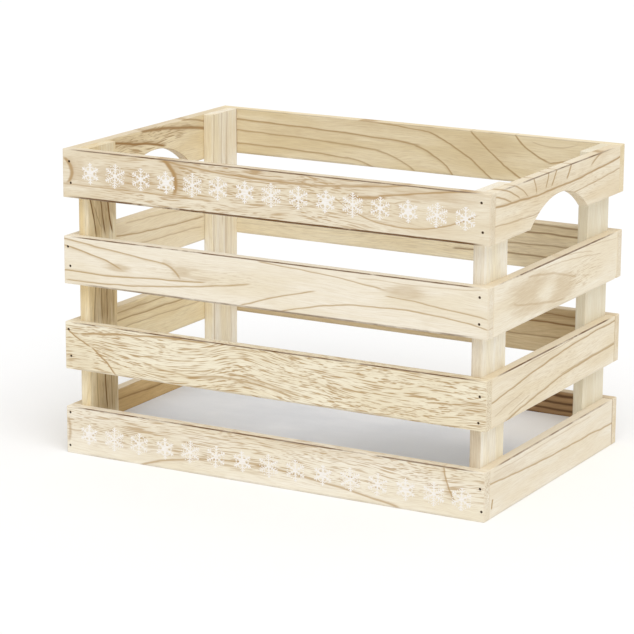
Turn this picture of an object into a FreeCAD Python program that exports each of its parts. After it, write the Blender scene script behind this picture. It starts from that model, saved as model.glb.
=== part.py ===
import FreeCAD, Part
import os

# Slatted wooden crate. Millimetres, +Z up. The origin is at the middle of the footprint, on the
# surface that the crate stands on. X runs along the crate, and the printed front faces -Y.

# Overall size
CRATE_LENGTH = 300.0
CRATE_DEPTH = 200.0
CRATE_HEIGHT = 200.0

# Slats and posts
SLATS_PER_SIDE = 4
SLAT_WIDTH = 31.25
SLAT_THICKNESS = 7.0
POST_WIDTH = 33.0
POST_THICKNESS = 7.0
EASED_EDGE = 0.5            # radius that takes the sharpness off every sawn edge

# Hand holes: a shallow arch in the lower edge of each top end slat
HANDHOLE_WIDTH = 86.0
HANDHOLE_RISE = 16.0

# One end slat has a corner that the bark side of the board left round
WANE_SLAT = 3
WANE_RADIUS = 5.0

# Bottom panel and the cleats under it
PANEL_TOP_HEIGHT = 15.0
PANEL_THICKNESS = 3.0
PANEL_CLEARANCE = 0.4       # gap from the panel's edge to the slats and posts
CLEAT_WIDTH = 9.0
CLEAT_HEIGHT = 9.0
CLEAT_CLEARANCE = 0.5       # gap from a cleat's ends to the posts

# Brads
BRAD_LENGTH = 18.0
BRAD_SHANK_RADIUS = 0.55
BRAD_HEAD_RADIUS = 0.85
BRAD_HEAD_THICKNESS = 0.7
BRAD_POINT_LENGTH = 1.6
BRAD_HEAD_SINK = 0.35       # depth of the head below the face of the wood
CLEAT_BRAD_LENGTH = 13.0
LONG_CLEAT_BRADS = 4
SHORT_CLEAT_BRADS = 2
CLEAT_BRAD_END_DISTANCE = 20.0

# The two brads at each end of a slat are driven by eye: a low one and a high one, given here from
# the bottom slat to the top one. Each has its height as a share of the slat's width, and its
# distance from the crate's end as a share of the end slat's thickness.
BRADS_LEFT = [
    ((0.16, 0.34), (0.87, 0.40)),
    ((0.28, 0.60), (0.84, 0.37)),
    ((0.38, 0.66), (0.78, 0.43)),
    ((0.31, 0.85), (0.75, 0.71)),
]
BRADS_RIGHT = [
    ((0.21, 0.29), (0.66, 0.46)),
    ((0.16, 0.74), (0.68, 0.66)),
    ((0.29, 0.85), (0.81, 0.85)),
    ((0.26, 0.69), (0.82, 0.85)),
]

# Places worked out from the sizes above
HALF_LENGTH = CRATE_LENGTH / 2
HALF_DEPTH = CRATE_DEPTH / 2
INNER_HALF_LENGTH = HALF_LENGTH - SLAT_THICKNESS
INNER_HALF_DEPTH = HALF_DEPTH - SLAT_THICKNESS
POST_INNER_FACE = INNER_HALF_LENGTH - POST_THICKNESS
SLAT_PITCH = (CRATE_HEIGHT - SLAT_WIDTH) / (SLATS_PER_SIDE - 1)
PANEL_UNDERSIDE = PANEL_TOP_HEIGHT - PANEL_THICKNESS
CLEAT_MID_HEIGHT = PANEL_UNDERSIDE - CLEAT_HEIGHT / 2

os.makedirs("parts", exist_ok=True)


def slat_bottom(number):
    """Height of the lower edge of a slat, counted from 1 at the bottom."""
    return (number - 1) * SLAT_PITCH


def board(low, high):
    """A straight board between two opposite corners, with all its edges eased."""
    corner = FreeCAD.Vector(*low)
    size = FreeCAD.Vector(*high) - corner
    solid = Part.makeBox(size.x, size.y, size.z, corner)
    return solid.makeFillet(EASED_EDGE, solid.Edges)


def brad(head_place, direction, length):
    """A round brad: its head's outer face is at head_place, and its point lies along direction."""
    head = Part.makeCylinder(BRAD_HEAD_RADIUS, BRAD_HEAD_THICKNESS, head_place, direction)
    shank_length = length - BRAD_POINT_LENGTH
    shank = Part.makeCylinder(BRAD_SHANK_RADIUS, shank_length, head_place, direction)
    point_start = head_place + direction * shank_length
    point = Part.makeCone(BRAD_SHANK_RADIUS, 0.0, BRAD_POINT_LENGTH, point_start, direction)
    return head.fuse([shank, point]).removeSplitter()


def brad_hole(head_place, direction, length):
    """The space that a driven brad takes up, open to the face above its sunk head."""
    sink = Part.makeCylinder(
        BRAD_HEAD_RADIUS, BRAD_HEAD_SINK, head_place - direction * BRAD_HEAD_SINK, direction
    )
    return brad(head_place, direction, length).fuse(sink).removeSplitter()


def long_slat(side, number):
    """A front (side -1) or back (side 1) slat, as long as the crate."""
    outer = side * HALF_DEPTH
    inner = side * INNER_HALF_DEPTH
    bottom = slat_bottom(number)
    return board(
        (-HALF_LENGTH, min(outer, inner), bottom),
        (HALF_LENGTH, max(outer, inner), bottom + SLAT_WIDTH),
    )


def end_slat(side, number):
    """A left (side -1) or right (side 1) end slat, which fits between the front and back slats."""
    outer = side * HALF_LENGTH
    inner = side * INNER_HALF_LENGTH
    bottom = slat_bottom(number)
    return board(
        (min(outer, inner), -INNER_HALF_DEPTH, bottom),
        (max(outer, inner), INNER_HALF_DEPTH, bottom + SLAT_WIDTH),
    )


def arched_end_slat(side, number):
    """An end slat with a circular arch sawn in its lower edge as a hand hole."""
    inner = side * INNER_HALF_LENGTH
    bottom = slat_bottom(number)
    top = bottom + SLAT_WIDTH
    foot = HANDHOLE_WIDTH / 2

    def at(y, z):
        return FreeCAD.Vector(inner, y, z)

    arch = Part.Arc(at(-foot, bottom), at(0.0, bottom + HANDHOLE_RISE), at(foot, bottom))
    straights = [
        (at(foot, bottom), at(INNER_HALF_DEPTH, bottom)),
        (at(INNER_HALF_DEPTH, bottom), at(INNER_HALF_DEPTH, top)),
        (at(INNER_HALF_DEPTH, top), at(-INNER_HALF_DEPTH, top)),
        (at(-INNER_HALF_DEPTH, top), at(-INNER_HALF_DEPTH, bottom)),
        (at(-INNER_HALF_DEPTH, bottom), at(-foot, bottom)),
    ]
    edges = [arch.toShape()] + [Part.makeLine(start, end) for start, end in straights]
    outline = Part.Face(Part.Wire(edges))
    solid = outline.extrude(FreeCAD.Vector(side * SLAT_THICKNESS, 0.0, 0.0))
    return solid.makeFillet(EASED_EDGE, solid.Edges)


def cut_wane(slat):
    """An end slat whose lower back corner is round through its whole thickness."""
    box = slat.BoundBox
    margin = 1.0
    corner_block = Part.makeBox(
        box.XLength + 2 * margin,
        WANE_RADIUS + margin,
        WANE_RADIUS + margin,
        FreeCAD.Vector(box.XMin - margin, box.YMax - WANE_RADIUS, box.ZMin - margin),
    )
    centre = FreeCAD.Vector(box.XMin - margin, box.YMax - WANE_RADIUS, box.ZMin + WANE_RADIUS)
    kept_round = Part.makeCylinder(
        WANE_RADIUS, box.XLength + 2 * margin, centre, FreeCAD.Vector(1.0, 0.0, 0.0)
    )
    return slat.cut(corner_block.cut(kept_round))


def post(side_x, side_y):
    """A flat corner post, against an end slat and just inside a front or back slat."""
    outer = side_x * INNER_HALF_LENGTH
    inner = side_x * POST_INNER_FACE
    near = side_y * INNER_HALF_DEPTH
    far = side_y * (INNER_HALF_DEPTH - POST_WIDTH)
    return board(
        (min(outer, inner), min(near, far), 0.0),
        (max(outer, inner), max(near, far), CRATE_HEIGHT),
    )


def make_bottom_panel():
    """A thin panel that fills the crate's inside, notched round the four posts."""
    half_x = INNER_HALF_LENGTH - PANEL_CLEARANCE
    half_y = INNER_HALF_DEPTH - PANEL_CLEARANCE
    notch_x = POST_INNER_FACE - PANEL_CLEARANCE
    notch_y = INNER_HALF_DEPTH - POST_WIDTH - PANEL_CLEARANCE
    outline = [
        (notch_x, -half_y), (notch_x, -notch_y), (half_x, -notch_y),
        (half_x, notch_y), (notch_x, notch_y), (notch_x, half_y),
        (-notch_x, half_y), (-notch_x, notch_y), (-half_x, notch_y),
        (-half_x, -notch_y), (-notch_x, -notch_y), (-notch_x, -half_y),
    ]
    points = [FreeCAD.Vector(x, y, PANEL_UNDERSIDE) for x, y in outline]
    face = Part.Face(Part.makePolygon(points + points[:1]))
    return face.extrude(FreeCAD.Vector(0.0, 0.0, PANEL_THICKNESS))


def long_cleat(side):
    """The cleat on the front (side -1) or back (side 1) bottom slat, between the posts."""
    outer = side * INNER_HALF_DEPTH
    inner = side * (INNER_HALF_DEPTH - CLEAT_WIDTH)
    half = POST_INNER_FACE - CLEAT_CLEARANCE
    return board(
        (-half, min(outer, inner), PANEL_UNDERSIDE - CLEAT_HEIGHT),
        (half, max(outer, inner), PANEL_UNDERSIDE),
    )


def short_cleat(side):
    """The cleat on the left (side -1) or right (side 1) bottom end slat, between the posts."""
    outer = side * INNER_HALF_LENGTH
    inner = side * (INNER_HALF_LENGTH - CLEAT_WIDTH)
    half = INNER_HALF_DEPTH - POST_WIDTH - CLEAT_CLEARANCE
    return board(
        (min(outer, inner), -half, PANEL_UNDERSIDE - CLEAT_HEIGHT),
        (max(outer, inner), half, PANEL_UNDERSIDE),
    )


def spread(count, half_span):
    """Evenly spaced places from -half_span to half_span."""
    step = 2 * half_span / (count - 1)
    return [-half_span + step * i for i in range(count)]


def corner_brads(side_x, side_y, pairs):
    """Places and directions of the brads that nail one end of a front or back side."""
    inwards = FreeCAD.Vector(0.0, -side_y, 0.0)
    y = side_y * (HALF_DEPTH - BRAD_HEAD_SINK)
    places = []
    for number, pair in enumerate(pairs, start=1):
        for height_share, end_share in pair:
            x = side_x * (HALF_LENGTH - end_share * SLAT_THICKNESS)
            z = slat_bottom(number) + height_share * SLAT_WIDTH
            places.append((FreeCAD.Vector(x, y, z), inwards, BRAD_LENGTH))
    return places


def make_cleat_brads():
    """Places and directions of the brads that nail the cleats to the bottom slats from inside."""
    long_half = POST_INNER_FACE - CLEAT_CLEARANCE - CLEAT_BRAD_END_DISTANCE
    short_half = INNER_HALF_DEPTH - POST_WIDTH - CLEAT_CLEARANCE - CLEAT_BRAD_END_DISTANCE
    places = []
    for side in (-1, 1):
        y = side * (INNER_HALF_DEPTH - CLEAT_WIDTH + BRAD_HEAD_SINK)
        for x in spread(LONG_CLEAT_BRADS, long_half):
            place = FreeCAD.Vector(x, y, CLEAT_MID_HEIGHT)
            places.append((place, FreeCAD.Vector(0.0, side, 0.0), CLEAT_BRAD_LENGTH))
    for side in (-1, 1):
        x = side * (INNER_HALF_LENGTH - CLEAT_WIDTH + BRAD_HEAD_SINK)
        for y in spread(SHORT_CLEAT_BRADS, short_half):
            place = FreeCAD.Vector(x, y, CLEAT_MID_HEIGHT)
            places.append((place, FreeCAD.Vector(side, 0.0, 0.0), CLEAT_BRAD_LENGTH))
    return places


# Wooden pieces
wood = {}
for number in range(1, SLATS_PER_SIDE + 1):
    wood["front_slat_%d" % number] = long_slat(-1, number)
    wood["back_slat_%d" % number] = long_slat(1, number)
    wood["left_end_slat_%d" % number] = end_slat(-1, number)
    wood["right_end_slat_%d" % number] = end_slat(1, number)
wood["left_end_slat_%d" % SLATS_PER_SIDE] = arched_end_slat(-1, SLATS_PER_SIDE)
wood["right_end_slat_%d" % SLATS_PER_SIDE] = arched_end_slat(1, SLATS_PER_SIDE)
waned = "right_end_slat_%d" % WANE_SLAT
wood[waned] = cut_wane(wood[waned])

wood["front_left_post"] = post(-1, -1)
wood["front_right_post"] = post(1, -1)
wood["back_left_post"] = post(-1, 1)
wood["back_right_post"] = post(1, 1)
wood["front_cleat"] = long_cleat(-1)
wood["back_cleat"] = long_cleat(1)
wood["left_cleat"] = short_cleat(-1)
wood["right_cleat"] = short_cleat(1)

# Brads, in groups of separate solids
brad_groups = {
    "front_left_brads": corner_brads(-1, -1, BRADS_LEFT),
    "front_right_brads": corner_brads(1, -1, BRADS_RIGHT),
    "back_left_brads": corner_brads(-1, 1, BRADS_RIGHT),
    "back_right_brads": corner_brads(1, 1, BRADS_LEFT),
    "cleat_brads": make_cleat_brads(),
}

# Every wooden piece is drilled for the brads that go into it
all_brads = [place for group in brad_groups.values() for place in group]
for name in wood:
    reach = wood[name].BoundBox
    reach.enlarge(BRAD_HEAD_SINK)
    holes = []
    for place in all_brads:
        hole = brad_hole(*place)
        if reach.intersect(hole.BoundBox):
            holes.append(hole)
    if holes:
        wood[name] = wood[name].cut(holes)

# Write every piece
for name, solid in wood.items():
    solid.exportStep("parts/%s.step" % name)
make_bottom_panel().exportStep("parts/bottom_panel.step")
for name, places in brad_groups.items():
    group = Part.makeCompound([brad(*place) for place in places])
    group.exportStep("parts/%s.step" % name)

print("pieces:", len(wood) + 1 + len(brad_groups))
print("slat gap %.2f mm" % (SLAT_PITCH - SLAT_WIDTH))
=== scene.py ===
import math
import random

import bmesh
import bpy
from mathutils import Euler, Matrix, Vector


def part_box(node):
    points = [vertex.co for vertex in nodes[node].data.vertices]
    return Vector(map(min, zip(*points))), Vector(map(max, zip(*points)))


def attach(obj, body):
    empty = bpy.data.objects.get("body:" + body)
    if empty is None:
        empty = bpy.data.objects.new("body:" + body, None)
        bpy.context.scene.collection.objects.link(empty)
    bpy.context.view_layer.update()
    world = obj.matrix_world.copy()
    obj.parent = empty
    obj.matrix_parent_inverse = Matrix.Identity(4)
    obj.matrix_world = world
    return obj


# Looks of a small slatted crate of pale, bare wood: four slats on each side, flat corner posts,
# a thin pale bottom panel, dark brads and two rows of white snowflake prints on the front.
# Wood is drawn in each board's own measure, in millimetres from the board's middle: first along the
# grain, then across the board's width, then through its thickness. The last grows towards -Y in
# boards that lie along X, towards +X in boards that lie along Y, and towards -X in the posts.

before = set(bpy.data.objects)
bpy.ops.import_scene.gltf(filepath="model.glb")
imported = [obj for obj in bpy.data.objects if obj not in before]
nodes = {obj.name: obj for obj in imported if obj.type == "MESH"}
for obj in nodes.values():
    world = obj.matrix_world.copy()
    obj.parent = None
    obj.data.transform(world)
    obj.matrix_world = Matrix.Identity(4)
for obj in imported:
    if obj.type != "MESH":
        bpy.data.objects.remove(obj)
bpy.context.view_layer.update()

MM = 0.001


# ---------------------------------------------------------------- shader bench


def tint(red, green, blue):
    """A colour given in everyday 0-255 screen values, as the linear colour that shaders use."""
    def linear(value):
        value /= 255.0
        return value / 12.92 if value <= 0.04045 else ((value + 0.055) / 1.055) ** 2.4
    return (linear(red), linear(green), linear(blue), 1.0)


def join(tree, value, socket):
    """Links a socket, or sets a plain value."""
    if isinstance(value, bpy.types.NodeSocket):
        tree.links.new(value, socket)
    else:
        socket.default_value = value


def add(tree, kind, feeds=None, **settings):
    """A shader node with its settings, and its inputs fed from sockets or plain values."""
    node = tree.nodes.new("ShaderNode" + kind)
    for name, value in settings.items():
        setattr(node, name, value)
    for name, value in (feeds or {}).items():
        join(tree, value, node.inputs[name])
    return node


def calc(tree, operation, *values, clamp=False):
    """One step of arithmetic on single values."""
    node = add(tree, "Math", dict(enumerate(values)), operation=operation, use_clamp=clamp)
    return node.outputs[0]


def vcalc(tree, operation, *values):
    """One step of arithmetic on vectors. Dot product and length give a single value."""
    node = add(tree, "VectorMath", dict(enumerate(values)), operation=operation)
    single = operation in ("DOT_PRODUCT", "LENGTH")
    return node.outputs["Value" if single else "Vector"]


def stretch(tree, vector, amount):
    """A vector made longer by amount."""
    return add(tree, "VectorMath", {0: vector, "Scale": amount}, operation="SCALE").outputs["Vector"]


def fade(tree, value, low, high, at_low=0.0, at_high=1.0):
    """A soft step of value from low to high."""
    feeds = {
        "Value": value, "From Min": low, "From Max": high, "To Min": at_low, "To Max": at_high,
    }
    return add(tree, "MapRange", feeds, interpolation_type="SMOOTHSTEP").outputs["Result"]


def blend(tree, share, first, second):
    """The first colour where share is 0 and the second where it is 1."""
    feeds = {0: share, 6: first, 7: second}
    return add(tree, "Mix", feeds, data_type="RGBA", clamp_factor=True).outputs[2]


def cloud(tree, vector, size, detail=2.0, rough=0.5):
    """Noise whose lumps are about size, in the vector's own units, along each axis."""
    shrunk = vcalc(tree, "MULTIPLY", vector, tuple(1.0 / s for s in size))
    feeds = {"Vector": shrunk, "Scale": 1.0, "Detail": detail, "Roughness": rough}
    return add(tree, "TexNoise", feeds)


def parts(tree, vector):
    """The three numbers of a vector."""
    node = add(tree, "SeparateXYZ", {0: vector})
    return node.outputs[0], node.outputs[1], node.outputs[2]


def together(tree, x=0.0, y=0.0, z=0.0):
    """A vector from three numbers."""
    return add(tree, "CombineXYZ", {0: x, 1: y, 2: z}).outputs[0]


def on_face(tree, vector):
    """A place in a board's measure with its depth left out."""
    return vcalc(tree, "MULTIPLY", vector, (1.0, 1.0, 0.0))


SOCKETS = {"vector": "NodeSocketVector", "value": "NodeSocketFloat", "colour": "NodeSocketColor"}


def new_group(name, inputs, outputs):
    """An empty node group with named sockets. Returns its tree, its given values and its end node."""
    tree = bpy.data.node_groups.new(name, "ShaderNodeTree")
    for label, kind in inputs:
        tree.interface.new_socket(label, in_out="INPUT", socket_type=SOCKETS[kind])
    for label, kind in outputs:
        tree.interface.new_socket(label, in_out="OUTPUT", socket_type=SOCKETS[kind])
    start = tree.nodes.new("NodeGroupInput")
    end = tree.nodes.new("NodeGroupOutput")
    return tree, start.outputs, end


def use(tree, group, feeds):
    """Places a node group, with its inputs fed."""
    node = add(tree, "Group", None, node_tree=group)
    for name, value in feeds.items():
        join(tree, value, node.inputs[name])
    return node


def object_place(tree):
    """Where a point lies on the object, in millimetres."""
    return stretch(tree, add(tree, "TexCoord").outputs["Object"], 1 / MM)


def relief_from(tree, shader, height, strength, depth):
    """Gives a shader the relief of a height value. The depth is in millimetres."""
    bump = add(tree, "Bump", {"Height": height, "Strength": strength, "Distance": depth * MM})
    join(tree, bump.outputs[0], shader.inputs["Normal"])


def new_material(name):
    """A material with its Principled shader and output, and nothing else."""
    material = bpy.data.materials.new(name)
    material.use_nodes = True
    tree = material.node_tree
    tree.nodes.clear()
    shader = add(tree, "BsdfPrincipled")
    add(tree, "OutputMaterial", {"Surface": shader.outputs[0]})
    return material, tree, shader


def dress(piece, material):
    """Gives a piece one material all over."""
    if piece.material_slots:
        for place in piece.material_slots:
            place.material = material
    else:
        piece.data.materials.append(material)


# ---------------------------------------------------------------- wood effects

# Sizes of the wood's own marks, in mm: along the grain, across it, and through the board.
RING_SWAY = (85.0, 30.0, 30.0)
LONG_DASH = (13.0, 0.66, 0.66)
SHORT_DASH = (6.0, 0.64, 0.64)
DASH_MIX = (42.0, 10.0, 10.0)
DASH_CROWDS = (24.0, 4.0, 4.0)
FIBRE = (14.0, 0.5, 0.5)
STREAK = (70.0, 2.0, 2.0)
WAVER = (24.0, 9.0, 9.0)
SMUDGE_RAG = (16.0, 1.6, 1.6)
EDGE_WEAR = (12.0, 4.0, 4.0)
EDGE_BREAKS = (46.0, 20.0, 20.0)
MOOD = (75.0, 13.0, 13.0)
END_DOTS = (9.0, 0.9, 0.9)

NOISE_MIDDLE = 0.5      # the level that noise swings round
RING_SHARPNESS = 16.0   # how thin the dark line of a ring is beside its pale part
DASH_STEEPNESS = 8.0    # how quickly a pore goes from pale to dark
DASH_SPARSE = 0.53      # noise level above which there are pores where they are few
DASH_CROWDED = 0.485    # and where they are many
WAVER_REACH = 2.4       # how far a single ring line may stray, mm
STROKE_IN = (0.12, 4.0)    # a line fades in over this share of its length, and at most so many mm
STROKE_OUT = (0.2, 7.0)    # and fades out over these
RAGGEDNESS = 1.1        # how uneven a smudge's border is
EDGE_TAPER = 24.0       # how far from a board's end its dark edges begin in full, mm

STREAK_SHARE = 0.5      # the most that each kind of mark changes the colour
FIBRE_SHARE = 0.42
PORE_SHARE = 0.85
CORNER_SHARE = 0.45
WORN_AND_HIGHLIT_SHARE = 0.22
STROKE_DEPTH = 0.6      # depth of a single line and height of the fibre, where a pore's depth is 1
FIBRE_RELIEF = 0.6

CREAM = tint(240, 231, 212)
STRAW = tint(228, 213, 182)
TAN_LINE = tint(176, 144, 98)
# The dark brown of the painted shade lines along the board edges
EDGE_SHADE_BROWN = tint(106, 74, 38)
# The pale of the edges: partly wear and partly painted highlight
WORN_AND_HIGHLIT_PALE = tint(246, 238, 220)


def make_growth_rings():
    """Growth rings cut by the board: a thin dark line at the start of each ring."""
    tree, given, end = new_group(
        "growth rings",
        [("Place", "vector"), ("Stuff", "vector"), ("Pith", "vector"), ("Ring Gap", "value"),
         ("Wander", "value")],
        [("Line", "value"), ("Drift", "value")])
    sway = cloud(tree, given["Stuff"], RING_SWAY, detail=1.0).outputs[1]
    sway = stretch(tree, vcalc(tree, "SUBTRACT", sway, (NOISE_MIDDLE,) * 3), given["Wander"])
    sway_across, sway_deep, _ = parts(tree, sway)
    along, across, deep = parts(tree, given["Place"])
    height, depth, taper = parts(tree, given["Pith"])
    rise = calc(tree, "ADD", calc(tree, "SUBTRACT", across, height), sway_across)
    behind = calc(tree, "MULTIPLY_ADD", taper, along, calc(tree, "ADD", depth, deep))
    behind = calc(tree, "MULTIPLY_ADD", sway_deep, 2.0, behind)
    radius = vcalc(tree, "LENGTH", together(tree, rise, behind))
    ring = calc(tree, "DIVIDE", radius, given["Ring Gap"])
    share = calc(tree, "FRACT", ring)
    ring_number = calc(tree, "FLOOR", ring)
    chance = add(tree, "TexWhiteNoise", {"W": ring_number}, noise_dimensions="1D").outputs[0]
    line = calc(tree, "POWER", calc(tree, "SUBTRACT", 1.0, share), RING_SHARPNESS)
    line = calc(tree, "MULTIPLY", line, fade(tree, share, 0.0, 0.05))
    line = calc(tree, "MULTIPLY", line, fade(tree, chance, 0.0, 0.7, 0.25, 1.0))
    join(tree, line, end.inputs["Line"])
    join(tree, sway_across, end.inputs["Drift"])
    return tree


def make_pores():
    """The open pores of the early wood, seen as dashes along the grain, and the fine fibre."""
    tree, given, end = new_group(
        "pores and fibre",
        [("Stuff", "vector"), ("Drift", "value")],
        [("Dashes", "value"), ("Fibre", "value"), ("Streaks", "value")])
    drifted = vcalc(tree, "ADD", given["Stuff"], together(tree, 0.0, given["Drift"]))
    long_dash = cloud(tree, drifted, LONG_DASH, detail=1.0).outputs[0]
    short_dash = cloud(tree, drifted, SHORT_DASH, detail=1.0).outputs[0]
    patchy = cloud(tree, drifted, DASH_MIX, detail=1.0).outputs[0]
    longer = fade(tree, patchy, 0.4, 0.52)
    dash = calc(tree, "SUBTRACT", long_dash, short_dash)
    dash = calc(tree, "MULTIPLY_ADD", dash, longer, short_dash)
    crowd = cloud(tree, drifted, DASH_CROWDS, detail=2.0).outputs[0]
    limit = fade(tree, crowd, 0.35, 0.65, DASH_SPARSE, DASH_CROWDED)
    over = calc(tree, "SUBTRACT", dash, limit)
    marks = calc(tree, "MULTIPLY", over, DASH_STEEPNESS, clamp=True)
    join(tree, marks, end.inputs["Dashes"])
    fibre = cloud(tree, drifted, FIBRE, detail=3.0, rough=0.7).outputs[0]
    join(tree, fibre, end.inputs["Fibre"])
    streak = cloud(tree, drifted, STREAK, detail=3.0, rough=0.6).outputs[0]
    join(tree, fade(tree, streak, 0.35, 0.7), end.inputs["Streaks"])
    return tree


def make_wobble():
    """A slow waver that keeps the single ring lines from running too smoothly, in millimetres."""
    tree, given, end = new_group("line waver", [("Stuff", "vector")], [("Wobble", "value")])
    lumps = cloud(tree, given["Stuff"], WAVER, detail=2.0).outputs[0]
    off = calc(tree, "SUBTRACT", lumps, NOISE_MIDDLE)
    join(tree, calc(tree, "MULTIPLY", off, WAVER_REACH), end.inputs["Wobble"])
    return tree


def make_stroke():
    """A single ring line that sweeps over a board from Start to End, with a tan shade on one side."""
    tree, given, end = new_group(
        "ring stroke",
        [("Place", "vector"), ("Wobble", "value"), ("Start", "vector"), ("End", "vector"),
         ("Bulge", "value"), ("Width", "value"), ("Smear", "value")],
        [("Line", "value"), ("Shade", "value")])
    away = vcalc(tree, "SUBTRACT", on_face(tree, given["Place"]), given["Start"])
    chord = vcalc(tree, "SUBTRACT", given["End"], given["Start"])
    length = vcalc(tree, "LENGTH", chord)
    share = vcalc(tree, "DOT_PRODUCT", away, chord)
    share = calc(tree, "DIVIDE", share, calc(tree, "POWER", length, 2.0))
    _, _, turn = parts(tree, vcalc(tree, "CROSS_PRODUCT", chord, away))
    side = calc(tree, "DIVIDE", turn, length)
    # A parabola that is 0 at both ends and the bulge in the middle, where share x (1 - share) is 1/4
    arch = calc(tree, "MULTIPLY", share, calc(tree, "SUBTRACT", 1.0, share))
    arch = calc(tree, "MULTIPLY", calc(tree, "MULTIPLY", arch, 4.0), given["Bulge"])
    off = calc(tree, "SUBTRACT", side, arch)
    off = calc(tree, "SUBTRACT", off, given["Wobble"])
    gone = calc(tree, "MULTIPLY", share, length)
    left_over = calc(tree, "SUBTRACT", length, gone)
    rise = calc(tree, "MINIMUM", calc(tree, "MULTIPLY", length, STROKE_IN[0]), STROKE_IN[1])
    drop = calc(tree, "MINIMUM", calc(tree, "MULTIPLY", length, STROKE_OUT[0]), STROKE_OUT[1])
    ends = calc(tree, "MULTIPLY", fade(tree, gone, 0.0, rise), fade(tree, left_over, 0.0, drop))
    near = calc(tree, "DIVIDE", calc(tree, "ABSOLUTE", off), given["Width"])
    line = calc(tree, "MULTIPLY", ends, fade(tree, near, 0.2, 1.0, 1.0, 0.0))
    join(tree, line, end.inputs["Line"])
    spread = calc(tree, "DIVIDE", off, given["Smear"])
    shade = fade(tree, spread, 0.0, 1.0, 1.0, 0.0)
    shade = calc(tree, "MULTIPLY", shade, fade(tree, spread, -0.05, 0.0))
    join(tree, calc(tree, "MULTIPLY", ends, shade), end.inputs["Shade"])
    return tree


def make_smudge():
    """A ragged tan patch, drawn out along the grain."""
    tree, given, end = new_group(
        "tan smudge",
        [("Place", "vector"), ("Stuff", "vector"), ("Middle", "vector"), ("Reach", "vector")],
        [("Mask", "value")])
    away = vcalc(tree, "SUBTRACT", on_face(tree, given["Place"]), given["Middle"])
    away = vcalc(tree, "LENGTH", vcalc(tree, "DIVIDE", away, given["Reach"]))
    rag = cloud(tree, given["Stuff"], SMUDGE_RAG, detail=2.0).outputs[0]
    rag = calc(tree, "SUBTRACT", rag, NOISE_MIDDLE)
    out = calc(tree, "MULTIPLY_ADD", rag, RAGGEDNESS, away)
    join(tree, fade(tree, out, 0.35, 1.25, 1.0, 0.0), end.inputs["Mask"])
    return tree


def make_arris():
    """How near a point is to a board's edges and ends, and to the corners above and below one face.

    That face is the one towards which the board's depth grows: the one that is seen, for a slat.
    """
    tree, given, end = new_group(
        "edges and ends",
        [("Place", "vector"), ("Half", "vector"), ("Stuff", "vector")],
        [("Edge", "value"), ("Ends", "value"), ("End Corner", "value"), ("Top Face", "value"),
         ("Upper", "value"), ("Lower", "value")])
    inside = vcalc(tree, "SUBTRACT", given["Half"], vcalc(tree, "ABSOLUTE", given["Place"]))
    end_gap, side_gap, face_gap = parts(tree, inside)
    _, across, deep = parts(tree, given["Place"])
    worn = cloud(tree, given["Stuff"], EDGE_WEAR, detail=3.0).outputs[0]
    torn = cloud(tree, given["Stuff"], EDGE_BREAKS, detail=5.0, rough=0.65).outputs[0]
    long_edge = calc(tree, "MAXIMUM", side_gap, face_gap)
    end_edge = calc(tree, "MAXIMUM", end_gap, calc(tree, "MINIMUM", side_gap, face_gap))
    nearest = calc(tree, "MINIMUM", long_edge, end_edge)
    edge = fade(tree, nearest, 0.15, 0.9, 1.0, 0.0)
    edge = calc(tree, "MULTIPLY", edge, fade(tree, worn, 0.3, 0.65))
    join(tree, edge, end.inputs["Edge"])
    join(tree, fade(tree, end_gap, 0.02, 0.2, 1.0, 0.0), end.inputs["Ends"])
    corner = fade(tree, calc(tree, "MAXIMUM", end_gap, face_gap), 0.3, 0.9, 1.0, 0.0)
    corner = calc(tree, "MULTIPLY", corner, fade(tree, worn, 0.3, 0.6, 0.3, 1.0))
    join(tree, corner, end.inputs["End Corner"])
    upper_half = fade(tree, across, -1.0, 1.0)
    top_face = calc(tree, "MULTIPLY", fade(tree, side_gap, 0.02, 0.3, 1.0, 0.0), upper_half)
    join(tree, top_face, end.inputs["Top Face"])
    broken = fade(tree, torn, 0.34, 0.56, 0.1, 1.0)
    tapered = fade(tree, end_gap, 1.0, EDGE_TAPER)
    dark = calc(tree, "MULTIPLY", broken, tapered)
    outer = calc(tree, "MULTIPLY", fade(tree, deep, 0.0, 0.5), dark)
    upper = calc(tree, "MULTIPLY", fade(tree, long_edge, 0.4, 0.85, 1.0, 0.0), upper_half)
    join(tree, calc(tree, "MULTIPLY", upper, outer), end.inputs["Upper"])
    lower = fade(tree, calc(tree, "ADD", long_edge, upper_half), 0.7, 1.6, 1.0, 0.0)
    join(tree, calc(tree, "MULTIPLY", lower, outer), end.inputs["Lower"])
    return tree


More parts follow.
